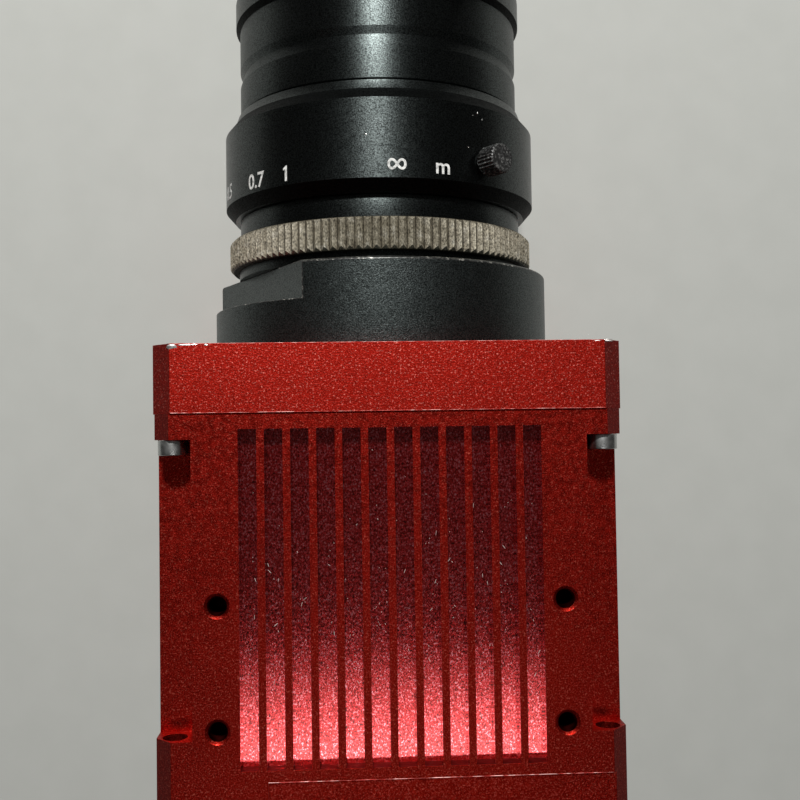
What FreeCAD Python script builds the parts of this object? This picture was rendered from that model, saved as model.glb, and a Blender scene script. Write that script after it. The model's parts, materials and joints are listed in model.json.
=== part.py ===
import FreeCAD, Part
import math
import os

# Machine vision camera with a C-mount lens. Millimetres. The lens axis runs along +Y and +Z is up.
# While a piece is built, Y = 0 is the front face of the front plate and heights are measured from
# the lens axis. save() then moves every piece so that the origin is the middle of the front plate's
# underside, which the camera stands on.

V = FreeCAD.Vector

# ---- camera body -------------------------------------------------------------------------------
body_width = 60.0            # front plate, square
plate_chamfer = 2.5
plate_length = 8.8
seam_step = 0.2              # housing is this much smaller than the plate on each side
housing_length = 51.2        # from the seam behind the front plate to the rear cover
rear_cover_length = 3.0
wall_thickness = 7.0
cavity_corner = 3.0

front_flange_length = 3.26   # flange of the housing that the corner screws clamp
rear_flange_length = 10.6
channel_depth = 5.0          # corner channels, from the front plate's sides
channel_fillet = 0.8

groove_count = 12
groove_pitch = 3.27
groove_width = 2.3
groove_depth = 2.0
groove_start = 2.0           # behind the seam
groove_length = 42.4

tap_radius = 1.25            # M3 tapping hole
tap_depth = 5.0
tap_mouth_radius = 1.6
tap_edge = 8.1               # from the plate's sides
tap_spacing_y = 15.5
tap_front_offset = 24.0      # first pair of tapped holes, behind the seam

recess_depth = 0.3           # shallow step on top of the rear flange
recess_length = 5.3
recess_edge = 14.3           # from the plate's left side

# ---- screws --------------------------------------------------------------------------------------
corner_screw_edge = 2.5      # corner screws, from the plate's sides
corner_screw_radius = 1.0    # M2 socket head cap screws
corner_head_radius = 1.9
corner_head_length = 1.95
corner_screw_bite = 5.0      # length of thread in the front plate
corner_key_radius = 0.87
corner_key_depth = 1.0
access_radius = 1.55         # hex key holes through rear flange and rear cover
cover_screw_side_edge = 13.0 # cover screws, from the plate's left and right sides
cover_screw_edge = 3.8       # and from its top and bottom
cover_screw_radius = 1.25    # M2.5 pan head screws
cover_head_radius = 2.2
cover_head_length = 1.4
cover_screw_bite = 5.0
cover_key_radius = 0.8
cover_key_depth = 0.8

# ---- clearances ----------------------------------------------------------------------------------
fit_gap = 0.05               # turning and sliding fits, radial
seat_gap = 0.04              # pieces of one body seated in each other, radial
screw_gap = 0.1              # screws through clearance holes, radial
face_gap = 0.1               # end faces of neighbouring pieces that move apart

# ---- seals ---------------------------------------------------------------------------------------
seal_width = 1.0
seal_depth = 0.8
seal_inset = 1.3             # centre line of the seal, from the cavity's wall
seal_corner = 2.0

# ---- sensor and boards ---------------------------------------------------------------------------
flange_focus = 17.526        # C-mount flange face to the sensor
sensor_width = 14.2          # 1-inch format sensor die
sensor_height = 10.4
die_thickness = 0.4
package_half = 14.0
package_base = 1.4
package_rim_height = 1.2
package_rim_width = 2.5
glass_thickness = 0.5
window_half = 11.5
package_pocket_gap = 0.6
board_thickness = 1.6
board_edge_gap = 1.5         # from the board to the cavity's wall
board_corner = 2.0
board_pocket_gap = 0.4
board_pocket_depth = 1.0
spacer_radius = 2.5
spacer_hole_radius = 1.2
spacer_edge = 3.5            # from the spacer's axis to the board's edge
front_spacer_length = 10.0
chip_half = 9.0
chip_thickness = 2.2

# ---- sockets on the rear cover -------------------------------------------------------------------
network_x = -9.5
network_z = 2.0
network_width = 16.0
network_height = 13.6
network_length = 19.4
network_mouth_width = 11.9
network_mouth_height = 8.0
network_mouth_depth = 13.0
latch_width = 6.2
latch_height = 1.6
contact_count = 8
contact_pitch = 1.02
contact_width = 0.4
contact_height = 0.9
contact_length = 9.0
panel_gap = 0.2

io_x = 12.5
io_z = 2.0
io_shell_radius = 5.3
io_bore_radius = 4.5
io_nut_radius = 6.8
io_nut_length = 1.6
io_shell_stand = 4.5         # shell behind the rear cover
io_bore_depth = 4.6
io_base_length = 5.0         # shell inside the housing
io_pin_radius = 0.3
io_pin_length = 2.2
io_outer_pins = 9
io_inner_pins = 3
io_outer_ring = 3.3
io_inner_ring = 1.4

led_x = 12.5
led_z = 14.5
led_radius = 1.5
led_stand = 0.5

# ---- adapter ring --------------------------------------------------------------------------------
adapter_radius = 25.25
adapter_length = 11.73
adapter_bore_radius = 15.0
adapter_spigot_radius = 20.8
adapter_spigot_length = 3.4
adapter_edge = 0.25
c_thread_radius = 12.7       # 1-inch C-mount thread
c_thread_length = 5.0
flat_direction = -65.0       # degrees from straight up towards +X
flat_half_angle = 36.0
flat_length = 5.1

# ---- lens: fixed pieces --------------------------------------------------------------------------
flange_step = 0.23           # mount flange stands this far outside the neck
flange_length = 1.37
c_spigot_length = 3.9
rear_bore_radius = 11.0
ring_seat_depth = 1.97       # seat of the knurled ring, inside the neck
knurl_step = 1.63            # knurled ring stands this far outside the neck
knurl_length = 4.45
knurl_depth = 0.52
knurl_count = 120
neck_step = 0.17             # neck stands this far outside the barrel
neck_length = 3.25
guide_depth = 2.87           # guide tube, inside the neck
guide_wall = 1.8
guide_length = 12.2

# ---- lens: focus ring ----------------------------------------------------------------------------
focus_step = 2.32            # focus ring stands this far outside the barrel
focus_end_step = 0.9         # its rear face and front shoulder, outside the barrel
focus_rear_chamfer = 1.6
focus_band_length = 10.86
focus_front_chamfer = 1.7
focus_front_step = 0.45      # front edge, outside the barrel
focus_cone_length = 1.3
lock_direction = 36.0        # degrees from straight up towards +X
lock_place = 4.6             # from the focus ring's rear face
lock_head_radius = 2.05
lock_head_length = 3.0
lock_head_gap = 0.7
lock_knurl_count = 26
lock_knurl_depth = 0.2
lock_neck_radius = 1.35
lock_thread_radius = 1.0     # M2
lock_tip_gap = 0.4           # from the screw's tip to the tube it presses on

# ---- lens: sliding barrel ------------------------------------------------------------------------
barrel_radius = 21.3
barrel_gap = 0.4             # focus ring's front to the barrel's shoulder, far focus
barrel_collar_gap = 0.35     # collar, inside the guide tube's outer face
barrel_collar_length = 2.7
barrel_tube_length = 16.4
barrel_tube_wall = 2.25
rear_band_length = 4.6
v_groove_rear_length = 1.63  # shallow rear slope of the V groove
v_groove_front_length = 1.0
v_groove_depth = 0.55
front_band_length = 5.9
nose_wall = 3.0
nose_step = 2.3              # nose tube, inside the barrel's outer face
nose_length = 7.3

# ---- lens: iris ----------------------------------------------------------------------------------
iris_ring_step = 0.6         # iris ring stands this far outside the barrel
iris_ring_length = 5.0
iris_ring_chamfer = 0.7
iris_lock_place = 2.5
iris_plate_thickness = 1.0
iris_open_radius = 7.0
blade_count = 6
blade_thickness = 0.12
blade_layer_gap = 0.06
blade_inner_radius = 7.2
blade_outer_radius = 10.4
blade_pivot_radius = 11.6
blade_ear_radius = 0.9
blade_pin_radius = 0.4
blade_span = 95.0

# ---- lens: front ring, cells and glass -------------------------------------------------------------
front_ring_length = 7.6
front_ring_wall = 1.05       # round the M40.5 filter thread
filter_length = 2.8
filter_relief_depth = 0.3    # run-out groove behind the thread
filter_relief_length = 0.8
hood_rear_step = 5.0         # light hood's rear edge, inside the nose tube
hood_length = 1.3
front_cell_length = 17.8
rear_cell_length = 15.8
front_glass_wall = 2.5       # of the cell, round each glass
second_glass_wall = 5.0
third_glass_wall = 7.0
fourth_glass_wall = 5.5
rear_glass_wall = 4.5
front_glass_seat = 11.3      # from the front cell's rear face
second_glass_seat = 6.3
third_glass_seat = 1.8
fourth_glass_seat = 4.9      # from the rear cell's front face
rear_glass_seat = 8.4
cell_lip = 1.0               # clear opening is this much smaller than the glass
retainer_length = 1.6
retainer_width = 1.2

# ---- places worked out from the sizes --------------------------------------------------------------
plate_half = body_width / 2
cavity_half = plate_half - wall_thickness
channel_inset = plate_half - channel_depth
tap_x = plate_half - tap_edge
recess_left = recess_edge - plate_half
corner_screw_offset = plate_half - corner_screw_edge
cover_screw_x = plate_half - cover_screw_side_edge
cover_screw_z = plate_half - cover_screw_edge
seal_half = cavity_half + seal_inset
board_half = cavity_half - board_edge_gap
spacer_offset = board_half - spacer_edge
neck_radius = barrel_radius + neck_step
focus_front_radius = barrel_radius + focus_front_step
nose_radius = barrel_radius - nose_step
barrel_front_bore = nose_radius - nose_wall
flange_radius = neck_radius + flange_step
ring_seat_radius = neck_radius - ring_seat_depth
knurl_radius = neck_radius + knurl_step
guide_radius = neck_radius - guide_depth
guide_bore_radius = guide_radius - guide_wall
focus_radius = barrel_radius + focus_step
focus_end_radius = barrel_radius + focus_end_step
barrel_collar_radius = guide_radius - barrel_collar_gap
barrel_tube_radius = guide_bore_radius - fit_gap
barrel_rear_bore = barrel_tube_radius - barrel_tube_wall
# each glass: semi diameter, edge thickness, rear surface radius, front surface radius, where a
# surface radius is positive when the surface bulges out of the glass and 0 when it is flat
front_glass = (barrel_front_bore - front_glass_wall, 2.1, 0.0, 26.0)
second_glass = (barrel_front_bore - second_glass_wall, 3.0, 0.0, 0.0)
third_glass = (barrel_front_bore - third_glass_wall, 2.4, 0.0, 0.0)
fourth_glass = (barrel_rear_bore - fourth_glass_wall, 2.5, 0.0, 0.0)
rear_glass = (barrel_rear_bore - rear_glass_wall, 4.0, 22.0, 0.0)
iris_ring_radius = barrel_radius + iris_ring_step
filter_radius = barrel_radius - front_ring_wall
hood_front_radius = nose_radius
hood_rear_radius = nose_radius - hood_rear_step
housing_half = plate_half - seam_step
housing_chamfer = plate_chamfer - 2 * seam_step
seam_y = -plate_length
housing_rear_y = seam_y - housing_length
cover_rear_y = housing_rear_y - rear_cover_length
front_flange_y = seam_y - front_flange_length
rear_flange_y = housing_rear_y + rear_flange_length
mount_y = adapter_length
sensor_y = mount_y - flange_focus
package_base_y = sensor_y - die_thickness
package_rear_y = package_base_y - package_base
package_front_y = package_base_y + package_rim_height
glass_front_y = package_front_y + glass_thickness
pocket_front_y = glass_front_y + face_gap
sensor_board_y = package_rear_y
board_step_y = sensor_board_y
processor_board_y = sensor_board_y - board_thickness - front_spacer_length
network_rear_y = cover_rear_y + panel_gap
network_front_y = network_rear_y + network_length
interface_board_y = network_front_y + board_thickness
knurl_y = mount_y + flange_length
neck_y = knurl_y + knurl_length
focus_y = neck_y + neck_length + face_gap
focus_band_y = focus_y + focus_rear_chamfer
focus_chamfer_y = focus_band_y + focus_band_length
focus_shoulder_y = focus_chamfer_y + focus_front_chamfer
focus_front_y = focus_shoulder_y + focus_cone_length
lock_y = focus_y + lock_place
barrel_y = focus_front_y + barrel_gap
groove_y = barrel_y + rear_band_length
groove_floor_y = groove_y + v_groove_rear_length
groove_end_y = groove_floor_y + v_groove_front_length
barrel_front_y = groove_end_y + front_band_length
nose_front_y = barrel_front_y + nose_length
iris_ring_y = barrel_front_y + face_gap
iris_lock_y = iris_ring_y + iris_lock_place
front_ring_y = iris_ring_y + iris_ring_length + face_gap
front_ring_front_y = front_ring_y + front_ring_length
iris_plate_y = barrel_y
blade_y = iris_plate_y + iris_plate_thickness + blade_layer_gap
blade_stack = blade_count * (blade_thickness + blade_layer_gap)
front_cell_y = blade_y + blade_stack + blade_layer_gap
rear_cell_y = barrel_y - rear_cell_length
guide_front_y = neck_y + neck_length + guide_length


# ---- building blocks -------------------------------------------------------------------------------
def save(name, shape):
    os.makedirs("parts", exist_ok=True)
    placed = shape.copy()
    placed.translate(V(0, plate_length / 2, plate_half))
    placed.exportStep("parts/" + name + ".step")


def box(x0, x1, y0, y1, z0, z1):
    return Part.makeBox(x1 - x0, y1 - y0, z1 - z0, V(x0, y0, z0))


def centred_box(half_x, half_z, y0, y1, x=0.0, z=0.0):
    return box(x - half_x, x + half_x, y0, y1, z - half_z, z + half_z)


def rod(radius, y0, y1, x=0.0, z=0.0):
    return Part.makeCylinder(radius, y1 - y0, V(x, y0, z), V(0, 1, 0))


def cone(radius0, radius1, y0, y1, x=0.0, z=0.0):
    return Part.makeCone(radius0, radius1, y1 - y0, V(x, y0, z), V(0, 1, 0))


def tube(outer, inner, y0, y1, x=0.0, z=0.0):
    return rod(outer, y0, y1, x, z).cut(rod(inner, y0, y1, x, z))


def turned(profile):
    """A solid of revolution about the lens axis from (radius, y) points."""
    points = [V(radius, y, 0) for radius, y in profile]
    face = Part.Face(Part.makePolygon(points + points[:1]))
    return face.revolve(V(0, 0, 0), V(0, 1, 0), 360)


def chamfered_square(half, chamfer, y0, y1):
    """A square prism along Y with its four long edges chamfered."""
    inner = half - chamfer
    corners = [(half, inner), (inner, half), (-inner, half), (-half, inner)]
    corners += [(-x, -z) for x, z in corners]
    points = [V(x, y0, z) for x, z in corners]
    return Part.Face(Part.makePolygon(points + points[:1])).extrude(V(0, y1 - y0, 0))


def rounded_square(half, radius, y0, y1):
    """A square prism along Y with its four long edges rounded."""
    block = centred_box(half, half, y0, y1)
    long_edges = [edge for edge in block.Edges if abs(edge.tangentAt(edge.FirstParameter).y) > 0.9]
    return block.makeFillet(radius, long_edges)


def about_axis(shape, degrees):
    """Turn a shape about the lens axis, from straight up towards +X."""
    turned_shape = shape.copy()
    turned_shape.rotate(V(0, 0, 0), V(0, 1, 0), degrees)
    return turned_shape


def four_corners(offset_x, offset_z):
    return [(sx * offset_x, sz * offset_z) for sx in (-1, 1) for sz in (-1, 1)]


def knurled_rod(radius, depth, count, y0, y1):
    """A rod along Y with a straight V-knurl, both of its ends chamfered."""
    root = radius - depth
    half = math.pi / count

    def at(r, angle, y):
        return V(r * math.sin(angle), y, r * math.cos(angle))

    faces = []
    for i in range(count):
        middle = 2 * half * i
        left0 = at(root, middle - half, y0)
        left1 = at(root, middle - half, y1)
        right0 = at(root, middle + half, y0)
        right1 = at(root, middle + half, y1)
        crest0 = at(radius, middle, y0 + depth)
        crest1 = at(radius, middle, y1 - depth)
        outlines = [
            (left0, left1, crest1, crest0),
            (crest0, crest1, right1, right0),
            (left0, crest0, right0),
            (left1, right1, crest1),
        ]
        for outline in outlines:
            faces.append(Part.Face(Part.makePolygon(outline + outline[:1])))
    for y in (y0, y1):
        rim = [at(root, 2 * half * i - half, y) for i in range(count)]
        faces.append(Part.Face(Part.makePolygon(rim + rim[:1])))
    shell = Part.Shell(faces)
    shell.sewShape()
    solid = Part.Solid(shell)
    solid.fix(1e-5, 1e-5, 1e-5)
    return solid


# ---- camera body -----------------------------------------------------------------------------------
def corner_screw_holes(shape, radius, y0, y1):
    for x, z in four_corners(corner_screw_offset, corner_screw_offset):
        shape = shape.cut(rod(radius, y0, y1, x, z))
    return shape


def cover_screw_holes(shape, radius, y1):
    for x, z in four_corners(cover_screw_x, cover_screw_z):
        shape = shape.cut(rod(radius, cover_rear_y - 1, y1, x, z))
    return shape


def front_plate():
    plate = chamfered_square(plate_half, plate_chamfer, seam_y, 0)
    thread = rod(adapter_spigot_radius + seat_gap, -adapter_spigot_length - face_gap, 1)
    window = centred_box(window_half, window_half, seam_y, 0)
    pocket_half = package_half + package_pocket_gap
    package_pocket = centred_box(pocket_half, pocket_half, seam_y - 1, pocket_front_y)
    board_pocket = rounded_square(board_half + board_pocket_gap, board_corner, seam_y - 1, board_step_y)
    plate = plate.cut(thread).cut(window).cut(package_pocket).cut(board_pocket)
    return corner_screw_holes(plate, corner_screw_radius + seat_gap, seam_y - 1, seam_y + corner_screw_bite)


def cooling_grooves():
    """Cutters for the grooves of the top face."""
    y1 = seam_y - groove_start
    y0 = y1 - groove_length
    first = -(groove_count - 1) / 2 * groove_pitch
    cutters = []
    for i in range(groove_count):
        x = first + i * groove_pitch
        half = groove_width / 2
        cutters.append(box(x - half, x + half, y0, y1, housing_half - groove_depth, housing_half + 1))
    return Part.makeCompound(cutters)


def corner_channel():
    """Cutter for the channel along the upper right edge, with a rounded inner corner."""
    reach = housing_half + 1
    block = box(channel_inset, reach, rear_flange_y, front_flange_y, channel_inset, reach)
    inner_edge = min(block.Edges, key=lambda edge: edge.CenterOfMass.x + edge.CenterOfMass.z)
    return block.makeFillet(channel_fillet, [inner_edge])


def tapped_holes():
    """Cutters for the four tapped holes of the top face."""
    cutters = []
    for x in (-tap_x, tap_x):
        for y in (seam_y - tap_front_offset, seam_y - tap_front_offset - tap_spacing_y):
            down = V(0, 0, -1)
            sink = tap_mouth_radius - tap_radius
            cutters.append(Part.makeCylinder(tap_radius, tap_depth, V(x, y, housing_half), down))
            cutters.append(Part.makeCone(tap_mouth_radius, tap_radius, sink, V(x, y, housing_half), down))
    return Part.makeCompound(cutters)


def seal_ring(extra=0.0):
    """Flat seal ring, its rear face at Y = 0; extra widens it into the groove that holds it."""
    outer = seal_half + seal_width / 2 + extra
    inner = seal_half - seal_width / 2 - extra
    ring = rounded_square(outer, seal_corner + seal_width / 2, 0, seal_depth)
    return ring.cut(rounded_square(inner, seal_corner - seal_width / 2, 0, seal_depth))


def seal_at(y, extra=0.0):
    ring = seal_ring(extra)
    ring.translate(V(0, y, 0))
    return ring


def main_housing():
    block = chamfered_square(housing_half, housing_chamfer, housing_rear_y, seam_y)
    block = block.cut(rounded_square(cavity_half, cavity_corner, housing_rear_y - 1, seam_y + 1))
    for quarter in range(4):
        block = block.cut(about_axis(cooling_grooves(), 90 * quarter))
        block = block.cut(about_axis(corner_channel(), 90 * quarter))
    for half_turn in range(2):
        block = block.cut(about_axis(tapped_holes(), 180 * half_turn))
    recess_y = housing_rear_y + recess_length
    reach = housing_half + 1
    recess_floor = housing_half - recess_depth
    block = block.cut(box(recess_left, reach, housing_rear_y - 1, recess_y, recess_floor, reach))
    block = block.cut(seal_at(seam_y - seal_depth, seat_gap))
    block = block.cut(seal_at(housing_rear_y, seat_gap))
    block = corner_screw_holes(block, corner_screw_radius + screw_gap, front_flange_y - 1, seam_y + 1)
    block = corner_screw_holes(block, access_radius, housing_rear_y - 1, rear_flange_y + 1)
    return cover_screw_holes(block, cover_screw_radius + seat_gap, housing_rear_y + cover_screw_bite)


def rear_cover():
    cover = chamfered_square(housing_half, housing_chamfer, cover_rear_y, housing_rear_y)
    cover = corner_screw_holes(cover, access_radius, cover_rear_y - 1, housing_rear_y + 1)
    cover = cover_screw_holes(cover, cover_screw_radius + screw_gap, housing_rear_y + 1)
    half_x = network_width / 2 + panel_gap
    half_z = network_height / 2 + panel_gap
    cover = cover.cut(centred_box(half_x, half_z, cover_rear_y - 1, housing_rear_y + 1, network_x, network_z))
    cover = cover.cut(rod(io_shell_radius + screw_gap, cover_rear_y - 1, housing_rear_y + 1, io_x, io_z))
    return cover.cut(rod(led_radius + seat_gap, cover_rear_y - 1, housing_rear_y + 1, led_x, led_z))


def screw(x, z, radius, length, head_radius, head_length, key_radius, key_depth, seat_y):
    """A socket head screw that points along +Y, its head behind seat_y."""
    head_rear = seat_y - head_length
    shape = rod(head_radius, head_rear, seat_y, x, z).fuse(rod(radius, seat_y, seat_y + length, x, z))
    corners = []
    for i in range(7):
        angle = math.radians(60 * i)
        corners.append(V(x + key_radius * math.cos(angle), head_rear, z + key_radius * math.sin(angle)))
    key = Part.Face(Part.makePolygon(corners)).extrude(V(0, key_depth, 0))
    return shape.cut(key)


def screws():
    corner_length = front_flange_length + corner_screw_bite - 0.5
    for number, (x, z) in enumerate(four_corners(corner_screw_offset, corner_screw_offset), 1):
        save("corner_screw_%d" % number, screw(
            x, z, corner_screw_radius, corner_length, corner_head_radius, corner_head_length,
            corner_key_radius, corner_key_depth, front_flange_y))
    cover_length = rear_cover_length + cover_screw_bite - 0.5
    for number, (x, z) in enumerate(four_corners(cover_screw_x, cover_screw_z), 1):
        save("cover_screw_%d" % number, screw(
            x, z, cover_screw_radius, cover_length, cover_head_radius, cover_head_length,
            cover_key_radius, cover_key_depth, cover_rear_y))


# ---- sensor and boards -----------------------------------------------------------------------------
def sensor_package():
    rear = centred_box(package_half, package_half, package_rear_y, package_front_y)
    inner = package_half - package_rim_width
    return rear.cut(centred_box(inner, inner, package_base_y, package_front_y))


def sensor_die():
    return centred_box(sensor_width / 2, sensor_height / 2, package_base_y, sensor_y)


def sensor_glass():
    return centred_box(package_half - 1, package_half - 1, package_front_y, glass_front_y)


def board(front_y):
    plate = rounded_square(board_half, board_corner, front_y - board_thickness, front_y)
    for x, z in four_corners(spacer_offset, spacer_offset):
        plate = plate.cut(rod(spacer_hole_radius, front_y - board_thickness, front_y, x, z))
    return plate


def spacers():
    front_end = sensor_board_y - board_thickness
    rear_start = processor_board_y - board_thickness
    for number, (x, z) in enumerate(four_corners(spacer_offset, spacer_offset), 1):
        front = tube(spacer_radius, spacer_hole_radius, processor_board_y, front_end, x, z)
        rear = tube(spacer_radius, spacer_hole_radius, interface_board_y, rear_start, x, z)
        save("front_spacer_%d" % number, front)
        save("rear_spacer_%d" % number, rear)


def processor():
    return centred_box(chip_half, chip_half, processor_board_y, processor_board_y + chip_thickness)


# ---- sockets ---------------------------------------------------------------------------------------
def network_socket():
    outer_x = network_width / 2
    outer_z = network_height / 2
    shell = centred_box(outer_x, outer_z, network_rear_y, network_front_y, network_x, network_z)
    mouth_y = network_rear_y + network_mouth_depth
    half_x = network_mouth_width / 2
    half_z = network_mouth_height / 2
    mouth = centred_box(half_x, half_z, network_rear_y, mouth_y, network_x, network_z)
    latch_z = network_z - half_z - latch_height / 2
    latch = centred_box(latch_width / 2, latch_height / 2, network_rear_y, mouth_y, network_x, latch_z)
    return shell.cut(mouth).cut(latch)


def network_contacts():
    z = network_z + network_mouth_height / 2 - contact_height / 2
    y1 = network_rear_y + network_mouth_depth
    first = network_x - (contact_count - 1) / 2 * contact_pitch
    strips = []
    for i in range(contact_count):
        x = first + i * contact_pitch
        strips.append(centred_box(contact_width / 2, contact_height / 2, y1 - contact_length, y1, x, z))
    return Part.makeCompound(strips)


def io_socket():
    mouth_y = cover_rear_y - io_shell_stand
    shell = rod(io_shell_radius, mouth_y, housing_rear_y + io_base_length, io_x, io_z)
    shell = shell.fuse(rod(io_nut_radius, cover_rear_y - io_nut_length, cover_rear_y, io_x, io_z))
    return shell.cut(rod(io_bore_radius, mouth_y, mouth_y + io_bore_depth, io_x, io_z))


def io_pins():
    floor_y = cover_rear_y - io_shell_stand + io_bore_depth
    pins = []
    for count, ring in ((io_outer_pins, io_outer_ring), (io_inner_pins, io_inner_ring)):
        for i in range(count):
            angle = 2 * math.pi * i / count
            x = io_x + ring * math.sin(angle)
            z = io_z + ring * math.cos(angle)
            pins.append(rod(io_pin_radius, floor_y - io_pin_length, floor_y, x, z))
    return Part.makeCompound(pins)


def status_led():
    body = rod(led_radius, cover_rear_y, interface_board_y - board_thickness, led_x, led_z)
    dome = cone(led_radius / 2, led_radius, cover_rear_y - led_stand, cover_rear_y, led_x, led_z)
    return body.fuse(dome)


# ---- adapter and fixed lens pieces -----------------------------------------------------------------
def adapter_ring():
    thread = c_thread_radius + seat_gap
    thread_y = mount_y - c_thread_length
    ring = turned([
        (adapter_bore_radius, -adapter_spigot_length),
        (adapter_spigot_radius, -adapter_spigot_length),
        (adapter_spigot_radius, 0),
        (adapter_radius, 0),
        (adapter_radius, mount_y - adapter_edge),
        (adapter_radius - adapter_edge, mount_y),
        (thread, mount_y),
        (thread, thread_y),
        (adapter_bore_radius, thread_y),
    ])
    distance = adapter_radius * math.cos(math.radians(flat_half_angle))
    reach = adapter_radius + 1
    flat = box(-reach, reach, mount_y - flat_length, mount_y + 1, distance, reach)
    return ring.cut(about_axis(flat, flat_direction))


def lens_mount():
    return turned([
        (rear_bore_radius, mount_y - c_spigot_length),
        (c_thread_radius, mount_y - c_spigot_length),
        (c_thread_radius, mount_y),
        (flange_radius, mount_y),
        (flange_radius, knurl_y),
        (ring_seat_radius, knurl_y),
        (ring_seat_radius, neck_y),
        (rear_bore_radius, neck_y),
    ])


def knurled_ring():
    ring = knurled_rod(knurl_radius, knurl_depth, knurl_count, knurl_y, neck_y)
    return ring.cut(rod(ring_seat_radius + seat_gap, knurl_y - 1, neck_y + 1))


def guide_tube():
    shoulder_y = neck_y + neck_length
    return turned([
        (guide_bore_radius, neck_y),
        (neck_radius, neck_y),
        (neck_radius, shoulder_y),
        (guide_radius, shoulder_y),
        (guide_radius, guide_front_y),
        (guide_bore_radius, guide_front_y),
    ])


# ---- focus ring and lock screws --------------------------------------------------------------------
def radial_hole(radius, from_radius, to_radius, y):
    """A cylinder that stands straight up from the lens axis."""
    return Part.makeCylinder(radius, to_radius - from_radius, V(0, y, from_radius), V(0, 0, 1))


def lock_screw(y, ring_radius, tip_radius):
    """A knurled thumbscrew standing straight up in a ring, with its tip inside the ring's bore."""
    head_base = ring_radius + lock_head_gap
    head = knurled_rod(lock_head_radius, lock_knurl_depth, lock_knurl_count, 0, lock_head_length)
    head.rotate(V(0, 0, 0), V(1, 0, 0), 90)
    head.translate(V(0, y, head_base))
    neck = radial_hole(lock_neck_radius, ring_radius + face_gap, head_base + 0.1, y)
    thread = radial_hole(lock_thread_radius, tip_radius, head_base + 0.1, y)
    return about_axis(head.fuse(neck).fuse(thread), lock_direction)


def lock_hole(y, from_radius, ring_radius):
    hole = radial_hole(lock_thread_radius + fit_gap, from_radius, ring_radius + 1, y)
    return about_axis(hole, lock_direction)


def focus_ring():
    bore = guide_radius + fit_gap
    ring = turned([
        (bore, focus_y),
        (focus_end_radius, focus_y),
        (focus_radius, focus_band_y),
        (focus_radius, focus_chamfer_y),
        (focus_end_radius, focus_shoulder_y),
        (focus_front_radius, focus_front_y),
        (bore, focus_front_y),
    ])
    return ring.cut(lock_hole(lock_y, bore - 1, focus_radius))


# ---- sliding barrel --------------------------------------------------------------------------------
def barrel():
    collar_y = barrel_y - barrel_collar_length
    return turned([
        (barrel_rear_bore, barrel_y - barrel_tube_length),
        (barrel_tube_radius, barrel_y - barrel_tube_length),
        (barrel_tube_radius, collar_y),
        (barrel_collar_radius, collar_y),
        (barrel_collar_radius, barrel_y),
        (barrel_radius, barrel_y),
        (barrel_radius, groove_y),
        (barrel_radius - v_groove_depth, groove_floor_y),
        (barrel_radius, groove_end_y),
        (barrel_radius, barrel_front_y),
        (nose_radius, barrel_front_y),
        (nose_radius, nose_front_y),
        (barrel_front_bore, nose_front_y),
        (barrel_front_bore, barrel_y),
        (barrel_rear_bore, barrel_y),
    ])


def front_ring():
    seat = nose_radius + seat_gap
    hood_y = nose_front_y + hood_length
    filter_y = front_ring_front_y - filter_length
    relief_y = filter_y - filter_relief_length
    return turned([
        (seat, front_ring_y),
        (barrel_radius, front_ring_y),
        (barrel_radius, front_ring_front_y - 0.3),
        (barrel_radius - 0.3, front_ring_front_y),
        (filter_radius, front_ring_front_y),
        (filter_radius, filter_y),
        (filter_radius + filter_relief_depth, filter_y),
        (filter_radius + filter_relief_depth, relief_y),
        (hood_front_radius, relief_y),
        (hood_front_radius, hood_y),
        (hood_rear_radius, nose_front_y),
        (seat, nose_front_y),
    ])


def cell(outer, y0, y1, bores):
    """A tube with stepped bores, each bore as (radius, y0, y1)."""
    shape = rod(outer, y0, y1)
    for radius, start, end in bores:
        shape = shape.cut(rod(radius, start, end))
    return shape


def front_cell():
    outer = barrel_front_bore - seat_gap
    y = front_cell_y
    end = y + front_cell_length
    return cell(outer, y, end, [
        (third_glass[0] - cell_lip, y - 1, end),
        (third_glass[0] + seat_gap, y + third_glass_seat, end),
        (second_glass[0] + seat_gap, y + second_glass_seat, end),
        (front_glass[0] + seat_gap, y + front_glass_seat, end + 1),
    ])


def rear_cell():
    outer = barrel_rear_bore - seat_gap
    y = barrel_y - rear_cell_length
    return cell(outer, y, barrel_y, [
        (fourth_glass[0] - cell_lip, y, barrel_y + 1),
        (fourth_glass[0] + seat_gap, barrel_y - fourth_glass_seat, barrel_y + 1),
        (rear_glass[0] + seat_gap, y - 1, barrel_y - rear_glass_seat),
    ])


def glass(dims, rear_y):
    """A lens element whose edge starts at rear_y; its surfaces bulge or dip from the edge."""
    semi, edge, rear_radius, front_radius = dims

    def sag(radius):
        if radius == 0:
            return 0.0
        depth = abs(radius) - math.sqrt(radius * radius - semi * semi)
        return math.copysign(depth, radius)

    def surface(edge_y, vertex_y, radius):
        ends = (V(semi, edge_y, 0), V(0, vertex_y, 0))
        if radius == 0:
            return Part.LineSegment(*ends).toShape()
        curve = abs(radius)
        half = semi / 2
        near = curve - math.sqrt(curve * curve - half * half)
        middle_y = vertex_y + math.copysign(near, edge_y - vertex_y)
        return Part.Arc(ends[0], V(half, middle_y, 0), ends[1]).toShape()

    front_y = rear_y + edge
    rear_vertex = rear_y - sag(rear_radius)
    front_vertex = front_y + sag(front_radius)
    edges = [
        Part.LineSegment(V(0, front_vertex, 0), V(0, rear_vertex, 0)).toShape(),
        surface(rear_y, rear_vertex, rear_radius),
        Part.LineSegment(V(semi, rear_y, 0), V(semi, front_y, 0)).toShape(),
        surface(front_y, front_vertex, front_radius),
    ]
    outline = Part.Wire(Part.__sortEdges__(edges))
    return Part.Face(outline).revolve(V(0, 0, 0), V(0, 1, 0), 360)


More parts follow.
